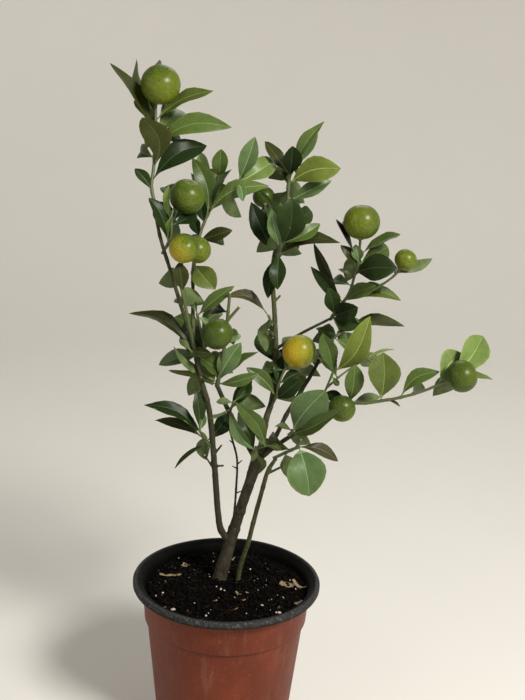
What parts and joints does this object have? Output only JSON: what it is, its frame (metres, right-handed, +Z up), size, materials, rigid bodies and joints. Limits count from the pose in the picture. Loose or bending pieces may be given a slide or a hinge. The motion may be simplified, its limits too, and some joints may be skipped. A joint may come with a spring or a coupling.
{
  "type": "calamondin orange tree in a nursery pot",
  "caption": "Young calamondin orange tree with glossy leaves and small round citrus fruit, growing from dark soil in a thin round terracotta-coloured nursery pot.",
  "frame": {"origin": "centre of the pot's flat underside, which stands on the floor", "axes": "+Z up, along the pot's axis; -Y faces the viewer of the picture; +X to the picture's right"},
  "size_m": [0.2864, 0.15, 0.5287],
  "materials": {
    "terracotta_plastic": "thin moulded pot, dusty and scuffed, satin, with a dark grey worn rim",
    "potting_soil": "loose dark peat with fibres, bark chips, perlite and a few pebbles",
    "bark": "thin grey-brown bark with fine cracks, greener on young stems",
    "dry_wood": "dead, dry and dark brown",
    "foliage": "glossy leathery citrus leaves on green twigs"
  },
  "bodies": {
    "root": {"pot": "terracotta_plastic", "soil": "potting_soil", "trunk": "bark", "left_stem": "bark", "right_stem": "bark", "dead_twig": "dry_wood", "left_bough": "bark", "middle_bough": "bark", "right_high_bough": "bark", "right_low_bough": "bark", "cross_bough": "bark", "outer_left_stem": "bark", "inner_left_stem": "bark", "top_left_spray": "foliage", "upper_left_spray": "foliage", "left_fruit_spray": "foliage", "mid_top_spray": "foliage", "centre_spray": "foliage", "centre_top_spray": "foliage", "right_top_spray": "foliage", "big_leaf_spray": "foliage", "right_tip_spray": "foliage", "right_mid_spray": "foliage", "right_back_spray": "foliage", "low_right_spray": "foliage", "fork_spray": "foliage", "fork_left_spray": "foliage", "left_stem_spray": "foliage", "left_shoulder_spray": "foliage", "centre_low_spray": "foliage", "arching_leaf_spray": "foliage", "back_left_spray": "foliage", "lower_left_spray": "foliage", "back_low_spray": "foliage", "back_top_spray": "foliage"}
  },
  "joints": []
}
